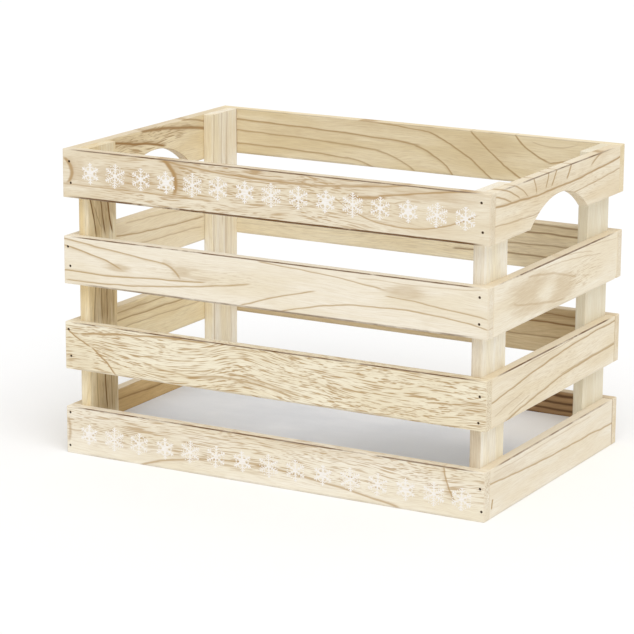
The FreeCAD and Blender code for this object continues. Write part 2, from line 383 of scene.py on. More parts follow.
def make_sawn_wood():
    """The colour, gloss and relief of a sawn board, from its rings, pores, marks and edges."""
    tree, given, end = new_group(
        "sawn wood",
        [("Place", "vector"), ("Stuff", "vector"), ("Half", "vector"), ("Pale", "colour"),
         ("Warm", "colour"), ("Dark", "colour"), ("Pith", "vector"), ("Ring Gap", "value"),
         ("Wander", "value"), ("Ring Strength", "value"), ("Pore Strength", "value"),
         ("Pore Middle", "vector"), ("Pore Reach", "vector"), ("Sway", "vector"),
         ("Strokes", "value"), ("Shades", "value"), ("Upper Edge", "value"), ("Lower Edge", "value"),
         ("Top Tone", "value"), ("Painted Light Inside Only", "value")],
        [("Colour", "colour"), ("Roughness", "value"), ("Height", "value")])
    along, _, deep = parts(tree, given["Place"])
    _, _, half_deep = parts(tree, given["Half"])
    # With the inside-only flag, the board's own colours, which hold painted light and shade, stay on the
    # face that looks into the crate, and plain wood colours go elsewhere
    outside = fade(tree, calc(tree, "SUBTRACT", half_deep, deep), 0.2, 0.5)
    outside = calc(tree, "MULTIPLY", outside, given["Painted Light Inside Only"])
    pale = blend(tree, outside, given["Pale"], CREAM)
    warm = blend(tree, outside, given["Warm"], STRAW)
    dark = blend(tree, outside, given["Dark"], TAN_LINE)
    brown = blend(tree, 0.5, warm, dark)

    # Rings, and fine marks that follow them and bend where the grain sways up or down
    rings = use(tree, growth_rings, {
        name: given[name] for name in ("Place", "Stuff", "Pith", "Ring Gap", "Wander")}).outputs
    sway_place, sway_height, sway_reach = parts(tree, given["Sway"])
    hump = calc(tree, "DIVIDE", calc(tree, "SUBTRACT", along, sway_place), sway_reach)
    hump = calc(tree, "MULTIPLY", calc(tree, "POWER", hump, 2.0), -1.0)
    hump = calc(tree, "MULTIPLY", calc(tree, "EXPONENT", hump), sway_height)
    drift = calc(tree, "SUBTRACT", rings["Drift"], hump)
    fine = use(tree, pores, {"Stuff": given["Stuff"], "Drift": drift}).outputs
    edges = use(tree, arris, {name: given[name] for name in ("Place", "Half", "Stuff")}).outputs

    # Base colour, streaks and fibre
    mood = cloud(tree, given["Stuff"], MOOD, detail=2.0).outputs[0]
    colour = blend(tree, fade(tree, mood, 0.38, 0.68), pale, warm)
    colour = blend(tree, calc(tree, "MULTIPLY", fine["Streaks"], STREAK_SHARE), colour, warm)
    colour = blend(tree, fade(tree, fine["Fibre"], 0.38, 0.72, 0.0, FIBRE_SHARE), colour, brown)

    # Tan shades, rings, pores and single lines
    fibrous = fade(tree, fine["Fibre"], 0.35, 0.65, 0.7, 1.0)
    colour = blend(tree, calc(tree, "MULTIPLY", given["Shades"], fibrous), colour, brown)
    ring_mark = calc(tree, "MULTIPLY", rings["Line"], given["Ring Strength"])
    colour = blend(tree, ring_mark, colour, dark)
    away = vcalc(tree, "SUBTRACT", on_face(tree, given["Place"]), given["Pore Middle"])
    away = vcalc(tree, "LENGTH", vcalc(tree, "DIVIDE", away, given["Pore Reach"]))
    open_zone = fade(tree, away, 0.55, 1.1, 1.0, 0.12)
    open_zone = calc(tree, "MULTIPLY", open_zone, given["Pore Strength"])
    pore_mark = calc(tree, "MULTIPLY", fine["Dashes"], open_zone)
    pore_mark = calc(tree, "MULTIPLY", pore_mark, PORE_SHARE)
    colour = blend(tree, pore_mark, colour, dark)
    colour = blend(tree, given["Strokes"], colour, dark)

    # End grain, the upper face, darker end corners, painted shade lines along the upper and lower edges,
    # and paler edges that are partly wear and partly painted highlight
    end_dots = cloud(tree, given["Stuff"], END_DOTS, detail=2.0).outputs[0]
    end_share = calc(tree, "MULTIPLY", edges["Ends"], fade(tree, end_dots, 0.35, 0.65, 0.05, 0.4))
    corner_share = calc(tree, "MULTIPLY", edges["End Corner"], CORNER_SHARE)
    colour = blend(tree, calc(tree, "MAXIMUM", end_share, corner_share), colour, brown)
    top_share = calc(tree, "MULTIPLY", edges["Top Face"], given["Top Tone"])
    colour = blend(tree, top_share, colour, brown)
    # Painted shade: dark lines along the upper and lower edges of the seen face, where its eased corners
    # turn away from the light
    upper_edge_shade = calc(tree, "MULTIPLY", edges["Upper"], given["Upper Edge"])
    lower_edge_shade = calc(tree, "MULTIPLY", edges["Lower"], given["Lower Edge"])
    edge_shade = calc(tree, "ADD", upper_edge_shade, lower_edge_shade, clamp=True)
    colour = blend(tree, edge_shade, colour, EDGE_SHADE_BROWN)
    # Paler edges: partly wear and partly painted highlight
    colour = blend(tree, calc(tree, "MULTIPLY", edges["Edge"], WORN_AND_HIGHLIT_SHARE), colour, WORN_AND_HIGHLIT_PALE)
    join(tree, colour, end.inputs["Colour"])

    # Gloss and relief: pores and lines lie a little lower, and are duller, than the fibre round them
    marks = calc(tree, "MULTIPLY", given["Strokes"], STROKE_DEPTH)
    marks = calc(tree, "MAXIMUM", pore_mark, marks)
    dullness = calc(tree, "MULTIPLY_ADD", fine["Fibre"], 0.22, 0.5)
    join(tree, calc(tree, "MULTIPLY_ADD", marks, 0.12, dullness), end.inputs["Roughness"])
    relief = calc(tree, "SUBTRACT", calc(tree, "MULTIPLY", fine["Fibre"], FIBRE_RELIEF), marks)
    join(tree, relief, end.inputs["Height"])
    return tree


growth_rings = make_growth_rings()
pores = make_pores()
waver = make_wobble()
stroke = make_stroke()
smudge = make_smudge()
arris = make_arris()
sawn_wood = make_sawn_wood()


# ---------------------------------------------------------------- boards

# Each grain direction turns the crate's axes into the board's own: along, across and through it.
GRAIN_TURN = {
    "x": Matrix(((1, 0, 0), (0, 0, 1), (0, -1, 0))),
    "y": Matrix(((0, 1, 0), (0, 0, 1), (1, 0, 0))),
    "z": Matrix(((0, 0, 1), (0, 1, 0), (-1, 0, 0))),
}

# Colours of the boards inside the crate: a darker tan that is painted shade.
INNER_SHADED_PALE = tint(226, 209, 174)
INNER_SHADED_WARM = tint(208, 186, 146)
INNER_SHADED_LINE = tint(146, 112, 68)

HOLE_HALF_WIDTH = 43.0
HOLE_RISE = 16.0

STUFF_STEP = Vector((413.0, 171.0, 97.0))   # keeps one board's wood from repeating in the next, mm
NO_SMEAR = 0.01                             # a shade too narrow to see, mm
BARE_WOOD_GLOSS = 0.3

# What a board has where its own look says nothing else. A pith is how high the tree's heart lies over
# the board's middle line, how far behind the board, and how fast it goes deeper along the grain. A
# sway is where along the grain the fine marks bend, how far and over what length.
# upper_edge and lower_edge set the strength of the painted shade lines along the seen face's upper and
# lower edges.
PLAIN_BOARD = {
    "pale": CREAM, "warm": STRAW, "dark": TAN_LINE, "painted_light_inside_only": 0.0,
    "rings": 0.5, "pith": (0.0, 60.0, 0.1), "ring_gap": 9.0, "wander": 12.0,
    "pores": 0.5, "sway": (0.0, 0.0, 20.0),
    "upper_edge": 0.15, "lower_edge": 0.15, "top_tone": 0.2, "hole_wall_shade": 0.0,
    "strokes": (), "smudges": (),
}


def flat_vector(pair, third=0.0):
    """A place or reach on a board's face, as a vector."""
    return (pair[0], pair[1], third)


def hole_wall_shade(tree, place, bottom):
    """The curved wall of the hand hole, the only part of a board that lies on the arch's circle, as a mask
    for painted shade.
    """
    radius = (HOLE_HALF_WIDTH ** 2 + HOLE_RISE ** 2) / (2 * HOLE_RISE)
    centre = bottom + HOLE_RISE - radius
    along, across, _ = parts(tree, place)
    reach = vcalc(tree, "LENGTH", together(tree, along, calc(tree, "SUBTRACT", across, centre)))
    off = calc(tree, "ABSOLUTE", calc(tree, "SUBTRACT", reach, radius))
    return fade(tree, off, 0.1, 0.3, 1.0, 0.0)


def darker(tree, before, mark, strength):
    """A mask with one more mark in it, or with a place cleared where the strength is below zero."""
    if strength < 0:
        return calc(tree, "MULTIPLY", before, calc(tree, "MULTIPLY_ADD", mark, strength, 1.0))
    return calc(tree, "MAXIMUM", before, calc(tree, "MULTIPLY", mark, strength))


def single_marks(tree, look, place, stuff):
    """The masks of a board's single ring lines, and of the tan shades beside and between them."""
    lines = 0.0
    shades = 0.0
    wobble = use(tree, waver, {"Stuff": stuff}).outputs["Wobble"]
    for start, finish, bulge, width, strength, smear in look["strokes"]:
        marks = use(tree, stroke, {
            "Place": place, "Wobble": wobble, "Start": flat_vector(start), "End": flat_vector(finish),
            "Bulge": bulge, "Width": width, "Smear": smear or NO_SMEAR}).outputs
        lines = darker(tree, lines, marks["Line"], strength)
        if smear:
            shades = darker(tree, shades, marks["Shade"], strength)
    for middle, reach, strength in look["smudges"]:
        patch = use(tree, smudge, {
            "Place": place, "Stuff": stuff, "Middle": flat_vector(middle),
            "Reach": flat_vector(reach, 1.0)}).outputs["Mask"]
        shades = darker(tree, shades, patch, strength)
    return lines, shades


def board_wood(name, grain, own_look, number):
    """A material for one board, in that board's own measure."""
    look = {**PLAIN_BOARD, **own_look}
    low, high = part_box(name)
    turn = GRAIN_TURN[grain]
    middle = turn @ ((low + high) / 2 / MM)
    half = turn @ ((high - low) / 2 / MM)
    half = Vector([abs(v) for v in half])
    material, tree, shader = new_material(name + "_wood")
    spot = add(tree, "TexCoord").outputs["Object"]
    place = add(tree, "Mapping", {
        "Vector": spot, "Location": -middle, "Rotation": turn.to_euler(), "Scale": (1 / MM,) * 3,
    }).outputs[0]
    stuff = vcalc(tree, "ADD", place, STUFF_STEP * number)
    lines, shades = single_marks(tree, look, place, stuff)
    # Painted shade on the hand hole's curved wall
    if look["hole_wall_shade"]:
        shades = darker(tree, shades, hole_wall_shade(tree, place, -half.y), look["hole_wall_shade"])
    pore_middle, pore_reach = look.get("pore_zone", ((0.0, 0.0), (half.x, half.y)))
    wood = use(tree, sawn_wood, {
        "Place": place, "Stuff": stuff, "Half": half, "Pale": look["pale"], "Warm": look["warm"],
        "Dark": look["dark"], "Painted Light Inside Only": look["painted_light_inside_only"], "Pith": look["pith"],
        "Ring Gap": look["ring_gap"], "Wander": look["wander"], "Ring Strength": look["rings"],
        "Pore Strength": look["pores"], "Pore Middle": flat_vector(pore_middle),
        "Pore Reach": flat_vector(pore_reach, 1.0), "Sway": look["sway"], "Strokes": lines,
        "Shades": shades, "Upper Edge": look["upper_edge"], "Lower Edge": look["lower_edge"],
        "Top Tone": look["top_tone"],
    }).outputs
    join(tree, wood["Colour"], shader.inputs["Base Color"])
    join(tree, wood["Roughness"], shader.inputs["Roughness"])
    relief_from(tree, shader, wood["Height"], strength=0.35, depth=0.12)
    shader.inputs["Specular IOR Level"].default_value = BARE_WOOD_GLOSS
    return material


# A board with the inside-only flag set keeps its own colours, which hold painted light and shade, for the
# face that looks into the crate, and takes plain wood colours elsewhere. A pore zone is its middle and its
# reach. A stroke is: start, end, how far it bows to its left, half its width, strength, and the width of
# the tan shade beside it, above zero where that lies on the left. A smudge is: middle, reach, strength. One
# with a strength below zero clears what was there before it.
FRONT_SLAT_4 = {
    "pale": tint(238, 229, 208), "warm": tint(226, 212, 184), "dark": tint(176, 142, 94), "rings": 0.1,
    "pores": 0.9, "pore_zone": ((-20, 0), (130, 30)), "lower_edge": 2.4, "upper_edge": 1.3, "top_tone": 0.2,
    "strokes": [
        ((-152, -6.6), (-36, -7.4), 0.0, 0.7, 0.5, 3.0),
        ((-150, 11), (-148, -8), 6.0, 2.2, 0.8, 11.0),
        ((-77, 16.5), (-68, -9), 6.5, 2.4, 1.0, 13.0),
        ((-82, 16.0), (100, 16.5), -7.0, 0.9, 0.7, 3.5),
        ((54, 5.2), (84, 7.6), -1.0, 1.6, 0.8, 3.0),
        ((74, 6.8), (146, 17.0), 0.8, 0.9, 0.8, 3.0),
        ((46, 4), (64, -6.5), -0.5, 0.6, 0.55, 0),
        ((58, -3.5), (144, 3.0), -9.6, 0.6, 0.7, 1.5),
        ((86, 3.6), (106, 6.2), 1.2, 0.6, 0.5, 0),
    ],
    "smudges": [((-104, 1), (24, 9), 0.7), ((-137, 2), (6, 9), 0.6), ((20, 12), (80, 4), 0.35),
                ((112, 11), (36, 5), 0.75), ((124, 3.5), (10, 2), 0.8)],
}
FRONT_SLAT_3 = {
    "pale": tint(242, 234, 217), "warm": tint(235, 224, 200), "dark": tint(178, 147, 99),
    "rings": 0.05, "pores": 0.28, "pore_zone": ((-45, 2), (50, 8)), "upper_edge": 1.4, "lower_edge": 0.8,
    "strokes": [
        ((-152, 9.4), (-104, -3), 2.0, 0.7, 0.8, -2.5),
        ((-156, 13.8), (-70, 4.4), 0.6, 0.7, 0.7, -2.0),
        ((-78, 5.6), (-62, -4), 2.2, 1.0, 0.7, 6.0),
        ((-156, -7.2), (-42, -2.6), -1.2, 0.7, 0.8, 1.8),
        ((-150, -13.4), (-10, 0), -3.0, 0.7, 0.7, 1.6),
        ((-21, -15), (36, 1.4), 0.6, 0.6, 0.7, 1.2),
        ((8, -15), (154, -10), 8.5, 0.6, 0.7, 1.2),
        ((-8, 14.4), (84, 6.8), 1.0, 0.55, 0.65, 1.2),
        ((80, 3.2), (152, -3.6), 0.8, 0.6, 0.65, 1.4),
        ((60, 12.5), (148, 14.0), -1.2, 0.5, 0.3, 1.2),
    ],
    "smudges": [((95, 7), (17, 4.6), 0.95), ((-109, -1), (11, 3.4), 1.0), ((-62, 1.5), (9, 5), 0.9),
                ((-50, -1), (16, 1.8), 0.6), ((-58, 4.2), (16, 1.2), 0.5)],
}
FRONT_SLAT_2 = {
    "pale": tint(244, 237, 215), "warm": tint(235, 224, 196), "dark": tint(176, 144, 98), "rings": 0.08,
    "pores": 1.0, "pore_zone": ((10, -1), (250, 34)), "sway": (-22, 6.0, 24), "upper_edge": 1.4,
    "lower_edge": 0.35,
    "strokes": [
        ((-150, 12), (-129, 0.5), -1.2, 0.7, 0.95, 1.5),
        ((-131, 1.6), (-110, -17), 1.2, 0.8, 0.95, 1.5),
        ((-140, 8.6), (-40, 14.5), 1.6, 0.9, 0.85, -2.0),
        ((-92, -4.5), (-30, -6.5), -3.0, 0.9, 0.45, 1.5),
        ((-60, -9.8), (22, -14), 5.5, 1.0, 0.6, 2.0),
        ((-30, -3.2), (26, -12), 2.0, 0.9, 0.5, 1.5),
        ((-8, 2.6), (60, -6), 2.4, 0.8, 0.3, 1.5),
    ],
    "smudges": [((-14, -7), (22, 3.4), 0.5), ((138, -2), (16, 5), 0.35), ((-140, -9), (14, 7), 0.25)],
}
FRONT_SLAT_1 = {
    "pale": tint(244, 238, 223), "warm": tint(237, 228, 206), "dark": tint(180, 149, 105), "rings": 0.06,
    "pores": 0.85, "pore_zone": ((5, 6), (240, 17)), "upper_edge": 1.4, "lower_edge": 0.2,
    "strokes": [
        ((-96, -16), (0, -3.0), 4.2, 1.0, 0.65, -2.5),
        ((-8, -2.8), (96, -16), 1.6, 1.0, 0.65, 2.5),
        ((122, 17), (131, -8), -1.0, 0.9, 0.75, -4.0),
        ((-149, 9), (-149, -9), 1.6, 1.6, 0.5, 3.0),
    ],
    "smudges": [((30, 12.5), (85, 3.0), 0.45), ((-20, 13.5), (50, 2.0), 0.4), ((-95, 2), (75, 15), 0.24)],
}
RIGHT_SLAT_4 = {
    "pale": tint(240, 230, 207), "warm": tint(230, 214, 183), "rings": 0.06, "pores": 0.3,
    "upper_edge": 0.9, "lower_edge": 0.1, "dark": tint(174, 142, 96), "top_tone": 0.05,
    "strokes": [
        ((-99, 7.0), (100, 8.8), -3.8, 0.9, 0.85, 2.0),
        ((-98, -4.5), (-24, -7), -0.8, 0.7, 0.55, 0),
        ((16, -3.6), (98, 1.0), 0.0, 0.6, 0.6, 1.5),
        ((-98, 12.8), (-68, 4.4), 1.6, 0.7, 0.75, 1.2),
        ((-88, 16), (-57, 4.4), 1.8, 0.7, 0.75, 1.2),
        ((-70, 16), (-46, 4.4), 1.2, 0.7, 0.7, 1.2),
        ((-42, 17), (-35, 5.0), 1.0, 0.9, 0.8, -2.0),
        ((-18, 17), (-23, 6.0), 0.6, 1.0, 0.85, 2.0),
        ((-6, 17), (-15, 6.0), 0.6, 1.2, 0.85, 2.0),
        ((16, 17), (8, 6.6), 0.8, 1.4, 0.85, 2.0),
        ((72, 16.5), (44, 9.2), -1.4, 1.0, 0.7, -2.0),
    ],
    "smudges": [((-20, 10), (50, 6), 0.25), ((66, 13), (10, 3), 0.3)],
}
RIGHT_SLAT_3 = {
    "pale": tint(243, 235, 216), "warm": tint(236, 224, 198), "dark": tint(184, 154, 108),
    "rings": 0.06, "pores": 0.55, "pore_zone": ((40, -1), (34, 11)), "upper_edge": 1.4, "lower_edge": 0.1,
    "top_tone": 0.55,
    "strokes": [
        ((-46, 11.6), (30, -3), 2.6, 1.0, 0.4, -2.0),
        ((-66, -1.0), (14, -12.4), -1.6, 1.0, 0.4, 2.0),
        ((-20, 13), (70, 5.6), 1.0, 0.5, 0.45, 0),
        ((-4, 16), (56, 9.4), 0.5, 0.5, 0.4, 0),
        ((30, 15), (96, 11), 0.4, 0.5, 0.3, 0),
    ],
    "smudges": [((-40, 3), (38, 12), 1.0), ((2, -5), (30, 11), 1.0), ((-34, -6), (38, 7), 0.9),
                ((-18, -2), (16, 7), -0.95)],
}
RIGHT_SLAT_2 = {
    "pale": tint(240, 230, 208), "warm": tint(231, 217, 188), "dark": tint(176, 146, 100),
    "rings": 0.08, "pores": 0.25, "upper_edge": 1.4, "lower_edge": 0.1, "top_tone": 0.4,
    "strokes": [
        ((-98, -0.4), (100, 12.6), 3.4, 0.8, 0.8, 1.8),
        ((-80, -17), (100, -3.4), 4.4, 0.9, 0.75, 2.2),
        ((6, -4.6), (96, -2.2), 0.4, 0.6, 0.5, 1.0),
        ((-70, -13), (-36, -6.6), 0.6, 0.6, 0.4, 1.0),
        ((-90, -9), (-46, -3), 0.6, 0.6, 0.35, 1.2),
        ((-50, 13), (30, 14.6), 0.0, 0.6, 0.4, 1.0),
    ],
    "smudges": [((-40, 11), (60, 3), 0.3), ((-72, -6), (24, 4), 0.3)],
}
RIGHT_SLAT_1 = {
    "pale": tint(240, 233, 217), "warm": tint(234, 223, 200), "dark": tint(182, 152, 106),
    "rings": 0.06, "pores": 0.12, "upper_edge": 0.8, "lower_edge": 0.1, "top_tone": 0.4,
    "strokes": [
        ((-98, 7.0), (0, 1.6), -0.5, 0.8, 0.75, 3.0),
        ((-10, 1.8), (104, -1.2), 0.2, 0.8, 0.75, 1.5),
        ((-90, 12.4), (60, 12.8), -0.4, 0.5, 0.3, 1.0),
        ((-88.8, -3.4), (-90.2, -10.4), 0.0, 1.4, 1.0, 0),
    ],
    "smudges": [((-68, 9), (26, 4), 0.45)],
}
BACK_SLAT_4 = {
    "pale": tint(241, 228, 197), "warm": tint(229, 212, 173), "dark": tint(176, 144, 98),
    "rings": 0.04, "pores": 0.15, "lower_edge": 0.3, "upper_edge": 0.3, "top_tone": 0.0,
    "strokes": [
        ((-154, 8.2), (8, 2.6), 1.2, 0.8, 0.75, -2.5),
        ((0, 3.2), (34, -19), 3.4, 0.8, 0.75, -2.5),
        ((-154, 0.6), (-22, -3.4), 0.8, 0.8, 0.6, -2.0),
        ((-30, -3.0), (6, -18), 2.6, 0.8, 0.6, -2.0),
        ((-154, -8.2), (-44, -11.4), 0.8, 0.8, 0.65, -2.0),
        ((-52, -10.4), (-26, -17), 0.9, 0.8, 0.6, -2.0),
        ((-42, 15.2), (18, 11.2), 1.4, 0.7, 0.7, -1.5),
        ((10, 13.0), (62, -18), 3.0, 0.8, 0.8, -2.0),
        ((42, 17), (86, -16), -2.2, 0.8, 0.8, -1.5),
        ((74, 17), (104, -1.2), -3.0, 0.8, 0.8, -1.2),
        ((98, -1.2), (146, 13), -2.0, 0.7, 0.7, -1.2),
        ((86, 13), (122, 13.6), -3.4, 0.6, 0.4, 0),
    ],
    "smudges": [((-20, 13), (60, 3.5), 0.4), ((54, 4), (26, 14), 0.35), ((-90, 3), (50, 4), 0.25)],
}
INNER_SHADED_BOARD = {"pale": INNER_SHADED_PALE, "warm": INNER_SHADED_WARM, "dark": INNER_SHADED_LINE, "rings": 0.5, "pores": 0.12}
# The back slats' colours lie on their inner faces and hold painted shade, darker in the lower slats.
BACK_SLAT_3 = {
    "pale": tint(248, 237, 208), "warm": tint(240, 225, 190), "dark": tint(128, 94, 52),
    "rings": 0.12, "pores": 0.2, "pith": (26, 34, -0.06), "ring_gap": 6.0, "top_tone": 0.6,
    "painted_light_inside_only": 1.0,
    "strokes": [
        ((30, 8.0), (150, 7.4), 0.6, 1.0, 0.7, 3.0),
        ((20, -2.0), (150, 0.6), 0.8, 0.8, 0.5, 2.0),
        ((30, -8.4), (150, -7.0), 0.5, 0.9, 0.65, 2.0),
        ((20, 13.4), (150, 13.6), 0.3, 1.0, 0.6, 3.0),
        ((-140, -9.0), (-20, -6.0), 0.6, 0.6, 0.12, 2.0),
    ],
    "smudges": [((96, -2), (40, 18), 0.66), ((96, 12), (60, 4), 0.8)],
}
BACK_SLAT_2 = {
    "pale": tint(216, 197, 160), "warm": tint(200, 177, 136), "dark": tint(126, 92, 52),
    "rings": 0.35, "pores": 0.15, "pith": (-30, 26, 0.08), "ring_gap": 6.5, "top_tone": 0.6,
    "painted_light_inside_only": 1.0,
    "strokes": [
        ((-150, 4.0), (150, 4.4), 1.4, 1.1, 0.8, 3.0),
        ((-150, 10.4), (150, 10.8), 0.8, 0.8, 0.6, 3.0),
        ((-150, -6.0), (150, -5.0), 1.0, 0.7, 0.5, 2.0),
    ],
    "smudges": [((90, 11), (70, 5), 0.8)],
}
BACK_SLAT_1 = {
    "pale": tint(176, 144, 104), "warm": tint(146, 112, 76), "dark": tint(86, 56, 28),
    "rings": 0.3, "pores": 0.1, "pith": (22, 30, 0.05), "ring_gap": 5.0, "top_tone": 0.8,
    "painted_light_inside_only": 1.0,
    "strokes": [
        ((-150, 12.4), (150, 12.0), 1.4, 1.4, 0.85, 2.0),
        ((-150, 7.6), (150, 7.0), 1.6, 1.1, 0.8, 2.0),
        ((-150, 3.2), (150, 2.4), 1.4, 1.1, 0.8, 2.0),
        ((-150, -1.4), (150, -1.8), 1.0, 0.9, 0.7, 2.0),
    ],
}
# The left end slats' colours lie on their inner faces and hold painted light and shade: darkest in the
# lowest slat, lightest in left_end_slat_3.
LEFT_SLAT_4 = {
    "pale": tint(247, 233, 200), "warm": tint(238, 220, 180), "dark": tint(164, 128, 80),
    "rings": 0.15, "pores": 0.85, "pore_zone": ((-14, 8), (70, 9)), "pith": (-10, 44, 0.2),
    "ring_gap": 10.0, "wander": 22.0, "top_tone": 0.3, "painted_light_inside_only": 1.0, "hole_wall_shade": 1.0,
    "strokes": [
        ((-56, 12.4), (14, 0.8), 0.4, 1.3, 1.0, 5.0),
        ((-20, 15.0), (68, 4.4), 1.6, 1.6, 0.85, 4.0),
        ((30, 16.0), (66, 9.0), 1.0, 1.0, 0.6, 2.0),
    ],
    "smudges": [((-36, 10), (30, 4), 0.45), ((30, 10), (34, 3.5), 0.5)],
}
LEFT_SLAT_3 = {
    "pale": tint(250, 239, 212), "warm": tint(245, 231, 200), "dark": tint(184, 152, 104),
    "rings": 0.12, "pores": 0.1, "pith": (24, 36, -0.1), "ring_gap": 8.0, "top_tone": 0.3,
    "painted_light_inside_only": 1.0,
    "strokes": [
        ((-96, 10.5), (62, 0.8), -1.6, 0.8, 0.75, 2.5),
        ((-96, -3.0), (60, -6.0), 1.0, 0.6, 0.45, 2.0),
        ((-40, 13.0), (60, 8.6), 0.6, 0.6, 0.4, 1.5),
    ],
    "smudges": [((-56, 10), (26, 5), 0.6)],
}
LEFT_SLAT_2 = {
    "pale": tint(248, 234, 198), "warm": tint(240, 221, 178), "dark": tint(170, 136, 88),
    "rings": 0.15, "pores": 0.1, "pith": (-24, 40, 0.12), "ring_gap": 9.0, "upper_edge": 0.4,
    "top_tone": 0.3, "painted_light_inside_only": 1.0,
    "strokes": [
        ((-96, 6.4), (60, 3.6), 0.6, 0.8, 0.7, 2.5),
        ((-96, 11.4), (60, 9.0), 0.8, 0.7, 0.6, 2.0),
        ((-96, 0.4), (60, -2.0), 0.8, 0.6, 0.4, 2.0),
    ],
    "smudges": [((-40, 12), (40, 4), 0.7)],
}
LEFT_SLAT_1 = {
    "pale": tint(220, 190, 138), "warm": tint(204, 172, 118), "dark": tint(136, 100, 52),
    "rings": 0.4, "pores": 0.2, "pith": (20, 24, 0.1), "ring_gap": 7.0, "top_tone": 0.5,
    "painted_light_inside_only": 1.0,
    "strokes": [((-96, 10.0), (60, 4.0), 0.8, 0.9, 0.6, 3.0)],
}
POST = {"pale": tint(252, 247, 233), "warm": tint(243, 234, 212), "dark": tint(192, 166, 122), "rings": 0.4,
        "pores": 0.15, "ring_gap": 7.0, "wander": 7.0}
FRONT_LEFT_POST = {
    "pale": tint(247, 238, 212), "warm": tint(234, 211, 162), "dark": tint(124, 88, 38), "rings": 0.35,
    "pores": 0.3, "ring_gap": 8.0, "wander": 7.0,
    "strokes": [
        ((73, -16), (38, -6.5), -1.0, 1.0, 1.0, -7.0),
        ((74, -3), (39, 4.0), 0.8, 1.1, 0.9, 4.0),
        ((66, 6.0), (39, 12.0), 0.6, 1.1, 1.0, -3.0),
        ((62, -9), (46, -1), 0.5, 0.6, 0.5, 2.0),
        ((18, -8), (-18, -10.5), 0.5, 1.0, 0.6, -6.0),
        ((18, -2), (-18, -1), 0.5, 0.9, 0.6, 3.0),
        ((18, 5.5), (-18, 4.5), 0.5, 0.9, 0.7, 3.0),
        ((18, 11.0), (-18, 12.0), 0.4, 0.7, 0.5, 2.0),
        ((-40, 0.6), (-78, 3.5), 0.6, 1.0, 1.0, -8.0),
        ((-40, 8.4), (-78, 9.4), 0.3, 0.8, 0.6, -4.0),
        ((-40, -8.4), (-78, -7.0), 0.3, 0.7, 0.4, 3.0),
    ],
    "smudges": [((60, 3), (20, 14), 1.0), ((0, 3), (26, 13), 1.0), ((-62, 4), (30, 15), 1.0),
                ((-62, 10), (26, 9), 1.0), ((44, -14), (18, 6.5), -0.95), ((-12, -14), (12, 5), -0.8),
                ((43, 15), (9, 3.5), -0.8)],
}


FRONT_RIGHT_POST = {
    **POST, "rings": 0.12, "warm": tint(246, 236, 208), "dark": tint(134, 86, 26),
    "smudges": [((56, -16.5), (22, 1.0), 0.4), ((0, -16.5), (22, 1.0), 0.5),
                ((-56, -16.5), (22, 1.0), 0.9)],
}
BACK_LEFT_POST = {
    **POST, "pith": (10, 40, 0.02), "warm": tint(246, 235, 206), "dark": tint(160, 122, 72), "rings": 0.2,
    "strokes": [
        ((104, -14.6), (-80, -14.6), 0.0, 0.6, 0.6, 0),
        ((104, 15.9), (50, 15.9), 0.0, 0.8, 0.6, 0),
        ((104, -4.0), (20, -3.0), 0.6, 0.8, 0.3, 2.0),
        ((104, 3.0), (-30, 1.0), 0.6, 0.9, 0.3, -3.0),
        ((60, 9.0), (-80, 8.0), 0.6, 0.7, 0.25, 2.0),
    ],
    "smudges": [((40, 2), (80, 3), 0.4)],
}
BACK_RIGHT_POST = {
    **POST, "pith": (-16, 30, 0.02), "pale": tint(240, 234, 214), "warm": tint(230, 220, 194),
}

BOARD_LOOKS = [
    ("front_slat_1", "x", FRONT_SLAT_1), ("front_slat_2", "x", FRONT_SLAT_2),
    ("front_slat_3", "x", FRONT_SLAT_3), ("front_slat_4", "x", FRONT_SLAT_4),
    ("right_end_slat_1", "y", RIGHT_SLAT_1), ("right_end_slat_2", "y", RIGHT_SLAT_2),
    ("right_end_slat_3", "y", RIGHT_SLAT_3), ("right_end_slat_4", "y", RIGHT_SLAT_4),
    ("back_slat_1", "x", BACK_SLAT_1), ("back_slat_2", "x", BACK_SLAT_2),
    ("back_slat_3", "x", BACK_SLAT_3), ("back_slat_4", "x", BACK_SLAT_4),
    ("left_end_slat_1", "y", LEFT_SLAT_1), ("left_end_slat_2", "y", LEFT_SLAT_2),
    ("left_end_slat_3", "y", LEFT_SLAT_3), ("left_end_slat_4", "y", LEFT_SLAT_4),
    ("front_left_post", "z", FRONT_LEFT_POST),
    ("front_right_post", "z", FRONT_RIGHT_POST),
    ("back_left_post", "z", BACK_LEFT_POST), ("back_right_post", "z", BACK_RIGHT_POST),
    ("front_cleat", "x", INNER_SHADED_BOARD), ("back_cleat", "x", INNER_SHADED_BOARD),
    ("left_cleat", "y", INNER_SHADED_BOARD), ("right_cleat", "y", INNER_SHADED_BOARD),
]

for number, (name, grain, look) in enumerate(BOARD_LOOKS, 1):
    dress(nodes[name], board_wood(name, grain, look, number))


# ---------------------------------------------------------------- bottom panel

PAINTED_SHADOW_SPOT = (76.0, -30.0)      # where the painted shadow on the coating is darkest, mm from the crate's middle
PAINTED_SHADOW_REACH = (90.0, 50.0)
PAINTED_LIGHT_SPOT = (124.0, 62.0)    # and where the painted pool of light on it is brightest
PAINTED_LIGHT_REACH = (70.0, 60.0)
PAINTED_SHADE_LEFTWARD = (-20.0, -130.0)      # where painted shade on the coating begins towards the left, and where it reaches full strength
COATING_DEPTH = 0.35           # how far the coating runs down over the panel's edge, mm

COATING = (tint(220, 225, 234), tint(232, 236, 244))
# Colours of the painted shadow, the painted pool of light and the painted shade on the coating
COATING_PAINTED_SHADOW = tint(194, 198, 204)
COATING_PAINTED_LIGHT = tint(252, 253, 255)
COATING_PAINTED_SHADE = tint(200, 206, 216)
COATING_SPECK = tint(196, 196, 198)
BARE_BOARD = (tint(176, 140, 98), tint(142, 108, 72))


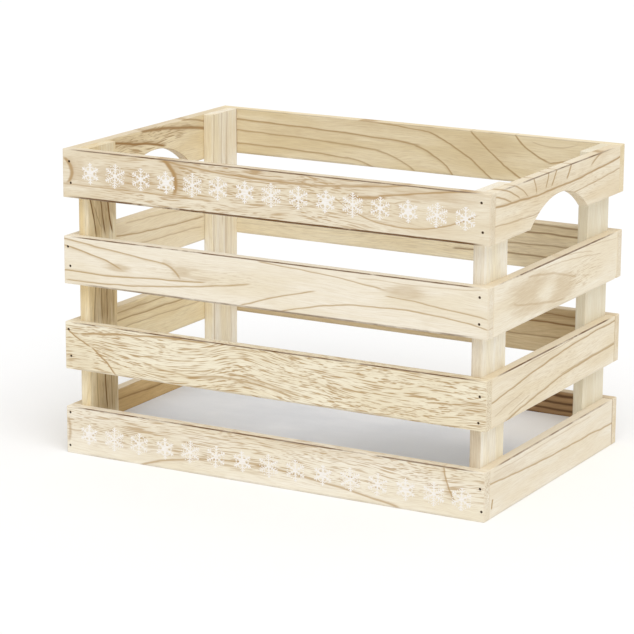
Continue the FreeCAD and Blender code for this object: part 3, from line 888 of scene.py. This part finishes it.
def spot_share(tree, place, middle, reach, strength):
    """How much of a soft oval spot on the panel reaches a point."""
    away = vcalc(tree, "SUBTRACT", place, flat_vector(middle))
    away = vcalc(tree, "LENGTH", vcalc(tree, "MULTIPLY", away, (1 / reach[0], 1 / reach[1], 0.0)))
    return fade(tree, away, 0.2, 1.3, strength, 0.0)


def make_panel_face():
    """Smooth pale coating on a thin brown board: the coating on top, the bare board below it. The coating
    carries painted light and shade.
    """
    _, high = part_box("bottom_panel")
    top = high.z / MM
    material, tree, shader = new_material("panel_coated")
    place = object_place(tree)
    to_right, _, height = parts(tree, place)
    clouds = cloud(tree, place, (46.0, 30.0, 30.0), detail=3.0).outputs[0]
    grain = cloud(tree, place, (1.1, 1.1, 1.1), detail=3.0, rough=0.7).outputs[0]
    coat = blend(tree, fade(tree, clouds, 0.3, 0.7), *COATING)
    # Painted light and shade: a pool of light near the right end, a shadow near the front right, and shade
    # towards the left
    painted_light_share = spot_share(tree, place, PAINTED_LIGHT_SPOT, PAINTED_LIGHT_REACH, 0.95)
    coat = blend(tree, painted_light_share, coat, COATING_PAINTED_LIGHT)
    dull = spot_share(tree, place, PAINTED_SHADOW_SPOT, PAINTED_SHADOW_REACH, 0.75)
    coat = blend(tree, dull, coat, COATING_PAINTED_SHADOW)
    coat = blend(tree, fade(tree, to_right, *PAINTED_SHADE_LEFTWARD, 0.0, 0.35), coat, COATING_PAINTED_SHADE)
    coat = blend(tree, fade(tree, grain, 0.55, 0.8, 0.0, 0.12), coat, COATING_SPECK)
    bare = blend(tree, fade(tree, grain, 0.3, 0.7), *BARE_BOARD)
    on_top = fade(tree, height, top - COATING_DEPTH, top - 0.2)
    join(tree, blend(tree, on_top, bare, coat), shader.inputs["Base Color"])
    join(tree, fade(tree, grain, 0.2, 0.8, 0.42, 0.6), shader.inputs["Roughness"])
    relief_from(tree, shader, grain, strength=0.15, depth=0.05)
    return material


dress(nodes["bottom_panel"], make_panel_face())


# ---------------------------------------------------------------- brads

DARK_WIRE = tint(64, 54, 44)
RUST = tint(104, 72, 46)
BRAD_GROUPS = (
    "front_left_brads", "front_right_brads", "back_left_brads", "back_right_brads", "cleat_brads",
)


def make_brad_steel():
    """Dark dull wire with a little rust bloom."""
    material, tree, shader = new_material("brad_wire")
    bloom = cloud(tree, object_place(tree), (0.5, 0.5, 0.5), detail=4.0, rough=0.65).outputs[0]
    colour = blend(tree, fade(tree, bloom, 0.42, 0.7), DARK_WIRE, RUST)
    join(tree, colour, shader.inputs["Base Color"])
    join(tree, fade(tree, bloom, 0.3, 0.7, 0.42, 0.75), shader.inputs["Roughness"])
    join(tree, fade(tree, bloom, 0.45, 0.7, 0.85, 0.3), shader.inputs["Metallic"])
    relief_from(tree, shader, bloom, strength=0.3, depth=0.04)
    return material


brad_steel = make_brad_steel()
for name in BRAD_GROUPS:
    dress(nodes[name], brad_steel)


# ---------------------------------------------------------------- snowflake prints

PAINT_PROUD = 0.04     # how far the paint stands off the wood, mm
PAINT_SUNK = 0.05      # how far it soaks in, mm
PAINT_WHITE = tint(243, 239, 234)
PAINT_THIN = tint(234, 225, 210)
PAINT_LUMP = tint(226, 218, 214)
FLAKES_PER_ROW = 15
FLAKE_SHIFT = 0.3      # how far a flake may sit from its even place, mm
FLAKE_TILT = 4         # and how far it may be turned, in degrees
FLAKE_SIZES = (0.97, 1.03)
ARMS = 6
DOT_CORNERS = 6
TWIG_SHOULDER = 0.8    # how wide a twig still is where its point begins

# A flake is: its arms' length, half their width, the radius where neighbouring arms meet, its side
# twigs, each with its place along the arm, its length, its lean from the arm in degrees and half its
# width, and the dots between its arms, each with its distance from the middle and its radius.
FLAKE_DESIGNS = {
    "star": {
        "length": 7.2, "half": 0.46, "waist": 2.1, "dots": [(4.4, 0.5)],
        "twigs": [(3.3, 2.0, 52, 0.36), (5.0, 1.7, 52, 0.34)],
    },
    "feather": {
        "length": 7.9, "half": 0.36, "waist": 1.2, "dots": [(6.6, 0.42), (5.0, 0.36)],
        "twigs": [(2.3, 1.5, 58, 0.3), (3.7, 2.4, 56, 0.3), (5.2, 2.0, 54, 0.3), (6.6, 1.1, 50, 0.28)],
    },
    "branch": {
        "length": 7.4, "half": 0.38, "waist": 1.35, "dots": [(5.9, 0.4)],
        "twigs": [(2.6, 1.4, 60, 0.3), (4.4, 2.5, 50, 0.32), (6.1, 1.3, 50, 0.3)],
    },
}


def arm_side(length, half, twigs):
    """The right-hand outline of one upright arm, from its root to its tip."""
    points = []
    for start, reach, lean, thick in twigs:
        lean = math.radians(lean)
        along = Vector((math.sin(lean), math.cos(lean)))
        over = Vector((-math.cos(lean), math.sin(lean)))
        foot = Vector((0.0, start))
        leave = foot - over * thick
        leave += along * ((half - leave.x) / along.x)
        back = foot + over * thick
        back += along * ((half - back.x) / along.x)
        end = foot + along * reach
        shoulder = over * thick * TWIG_SHOULDER
        points += [leave, end - shoulder, end + along * thick, end + shoulder, back]
    points += [Vector((half, length - half)), Vector((half * 0.55, length - half * 0.2))]
    return points


def flake_outline(length, half, waist, twigs):
    """The closed outline of a whole flake: its arms in turn, with a notch between each two."""
    right = arm_side(length, half, twigs)
    left = [Vector((-p.x, p.y)) for p in right]
    arm = [Vector((0.0, length))] + list(reversed(right))
    outline = []
    for turn in range(ARMS):
        spin = Matrix.Rotation(-turn * math.tau / ARMS, 2)
        notch = Matrix.Rotation(-(turn + 0.5) * math.tau / ARMS, 2) @ Vector((0.0, waist))
        outline += [spin @ p for p in left] + [spin @ p for p in arm] + [notch]
    return outline


def make_flake_mesh(name, design):
    """A flake of paint, lying in the plane across X and Z, proud towards -Y."""
    mesh = bpy.data.meshes.new(name)
    shape = bmesh.new()
    outline = flake_outline(design["length"], design["half"], design["waist"], design["twigs"])
    rims = [outline]
    for radius, size in design["dots"]:
        for turn in range(ARMS):
            middle = Matrix.Rotation((turn + 0.5) * math.tau / ARMS, 2) @ Vector((0.0, radius))
            spins = [Matrix.Rotation(-k * math.tau / DOT_CORNERS, 2) for k in range(DOT_CORNERS)]
            rims.append([middle + spin @ Vector((0.0, size)) for spin in spins])
    for rim in rims:
        corners = [shape.verts.new((p.x, PAINT_SUNK, p.y)) for p in rim]
        shape.faces.new(corners)
    shape.normal_update()
    bmesh.ops.triangulate(shape, faces=shape.faces[:])
    made = bmesh.ops.extrude_face_region(shape, geom=shape.faces[:])
    raised = [e for e in made["geom"] if isinstance(e, bmesh.types.BMVert)]
    bmesh.ops.translate(shape, verts=raised, vec=(0.0, -(PAINT_SUNK + PAINT_PROUD), 0.0))
    bmesh.ops.recalc_face_normals(shape, faces=shape.faces[:])
    bmesh.ops.scale(shape, vec=(MM, MM, MM), verts=shape.verts[:])
    shape.to_mesh(mesh)
    shape.free()
    return mesh


def make_print_paint():
    """Thin matt white paint: brighter where it lies thick, with the wood showing where it lies thin."""
    material, tree, shader = new_material("snow_white_print")
    where = add(tree, "NewGeometry").outputs["Position"]
    place = stretch(tree, where, 1 / MM)
    thin = cloud(tree, place, (5.0, 5.0, 0.8), detail=3.0, rough=0.6).outputs[0]
    lumps = cloud(tree, place, (0.7, 0.7, 0.7), detail=2.0).outputs[0]
    colour = blend(tree, fade(tree, thin, 0.42, 0.72), PAINT_WHITE, PAINT_THIN)
    colour = blend(tree, fade(tree, lumps, 0.55, 0.8, 0.0, 0.35), colour, PAINT_LUMP)
    join(tree, colour, shader.inputs["Base Color"])
    join(tree, fade(tree, lumps, 0.3, 0.7, 0.55, 0.75), shader.inputs["Roughness"])
    relief_from(tree, shader, lumps, strength=0.2, depth=0.02)
    return material


print_paint = make_print_paint()
flake_meshes = {
    name: make_flake_mesh("flake_" + name, design) for name, design in FLAKE_DESIGNS.items()
}
for mesh in flake_meshes.values():
    mesh.materials.append(print_paint)


def print_row(slat, label, first, last, seed):
    """A row of flakes along one front slat, evenly spaced from first to last, the designs in turn.

    The places of the first and the last flake are given from the middle of the slat, in millimetres.
    """
    low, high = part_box(slat)
    chance = random.Random(seed)
    designs = list(FLAKE_DESIGNS)
    for place in range(FLAKES_PER_ROW):
        design = designs[place % len(designs)]
        flake = bpy.data.objects.new(f"{label}_snowflake_{place + 1:02d}", flake_meshes[design])
        bpy.context.scene.collection.objects.link(flake)
        share = place / (FLAKES_PER_ROW - 1)
        x = first[0] + (last[0] - first[0]) * share + chance.uniform(-FLAKE_SHIFT, FLAKE_SHIFT)
        z = first[1] + (last[1] - first[1]) * share + chance.uniform(-FLAKE_SHIFT, FLAKE_SHIFT)
        flake.location = (x * MM, low.y, (low.z + high.z) / 2 + z * MM)
        tilt = math.radians(chance.uniform(-FLAKE_TILT, FLAKE_TILT))
        flake.rotation_euler = Euler((0.0, tilt, 0.0))
        flake.scale = (chance.uniform(*FLAKE_SIZES),) * 3
        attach(flake, "root")


print_row("front_slat_4", "top", (-129.0, 1.6), (134.0, -0.2), 4)
print_row("front_slat_1", "bottom", (-132.5, -1.8), (135.0, -3.0), 1)


# ---------------------------------------------------------------- floor, light and camera

FLOOR_HALF = 12.0            # metres from the crate to the floor's edge
FLOOR_WHITE = (0.9, 0.9, 0.9, 1.0)
WHITE = (1.0, 1.0, 1.0, 1.0)
SKY_STRENGTH = 0.72
KEY_STRENGTH = 1.5
KEY_SOFTNESS = 52            # how wide the light is, in degrees
KEY_AZIMUTH = 40
KEY_ELEVATION = 60
LENS = 154.5                 # millimetres, on a sensor 36 mm wide
CAMERA_PLACE = (0.8146, -1.5077, 0.5015)
CAMERA_AZIMUTH = 28.98       # degrees from straight in front, towards the crate's right
CAMERA_DROP = 13.58          # degrees that it looks down
CAMERA_ROLL = 0.32


def make_floor():
    """A wide white floor that can't be seen from below."""
    mesh = bpy.data.meshes.new("floor")
    corners = [(x * FLOOR_HALF, y * FLOOR_HALF, 0) for x, y in ((-1, -1), (1, -1), (1, 1), (-1, 1))]
    mesh.from_pydata(corners, [], [(0, 1, 2, 3)])
    floor = bpy.data.objects.new("floor", mesh)
    bpy.context.scene.collection.objects.link(floor)
    material, tree, shader = new_material("white_floor")
    shader.inputs["Base Color"].default_value = FLOOR_WHITE
    shader.inputs["Roughness"].default_value = 0.9
    shader.inputs["Specular IOR Level"].default_value = 0.0
    clear = add(tree, "BsdfTransparent")
    back = add(tree, "NewGeometry").outputs["Backfacing"]
    mixed = add(tree, "MixShader", {0: back, 1: shader.outputs[0], 2: clear.outputs[0]})
    out = next(node for node in tree.nodes if node.type == "OUTPUT_MATERIAL")
    join(tree, mixed.outputs[0], out.inputs["Surface"])
    mesh.materials.append(material)


def make_sky(strength):
    """Even white light from all round, and a white background behind it."""
    world = bpy.data.worlds.new("studio")
    bpy.context.scene.world = world
    world.use_nodes = True
    tree = world.node_tree
    tree.nodes.clear()
    even = add(tree, "Background", {"Color": WHITE, "Strength": strength})
    white = add(tree, "Background", {"Color": WHITE, "Strength": 1.0})
    seen = add(tree, "LightPath").outputs["Is Camera Ray"]
    mixed = add(tree, "MixShader", {0: seen, 1: even.outputs[0], 2: white.outputs[0]})
    add(tree, "OutputWorld", {"Surface": mixed.outputs[0]})


def make_sun(name, strength, softness, azimuth, elevation):
    """A wide soft light from one side. Azimuth 0 stands in front of the crate and 90 at its right."""
    light = bpy.data.lights.new(name, "SUN")
    light.energy = strength
    light.angle = math.radians(softness)
    lamp = bpy.data.objects.new(name, light)
    bpy.context.scene.collection.objects.link(lamp)
    turn = math.radians(azimuth)
    rise = math.radians(elevation)
    flat = math.cos(rise)
    away = Vector((math.sin(turn) * flat, -math.cos(turn) * flat, math.sin(rise)))
    lamp.rotation_mode = "QUATERNION"
    lamp.rotation_quaternion = away.to_track_quat("Z", "Y")


def make_camera():
    """A long lens from a little above, before the crate's front right corner."""
    data = bpy.data.cameras.new("camera")
    data.sensor_width = 36.0
    data.lens = LENS
    data.clip_start = 0.01
    data.clip_end = 100.0
    camera = bpy.data.objects.new("camera", data)
    bpy.context.scene.collection.objects.link(camera)
    aim = Euler((math.radians(90 - CAMERA_DROP), 0.0, math.radians(CAMERA_AZIMUTH))).to_matrix()
    aim = aim @ Matrix.Rotation(math.radians(CAMERA_ROLL), 3, "Z")
    camera.matrix_world = Matrix.Translation(CAMERA_PLACE) @ aim.to_4x4()
    bpy.context.scene.camera = camera


make_floor()
make_sky(SKY_STRENGTH)
make_sun("key_light", KEY_STRENGTH, KEY_SOFTNESS, KEY_AZIMUTH, KEY_ELEVATION)
make_camera()
bpy.context.scene.view_settings.view_transform = "Standard"
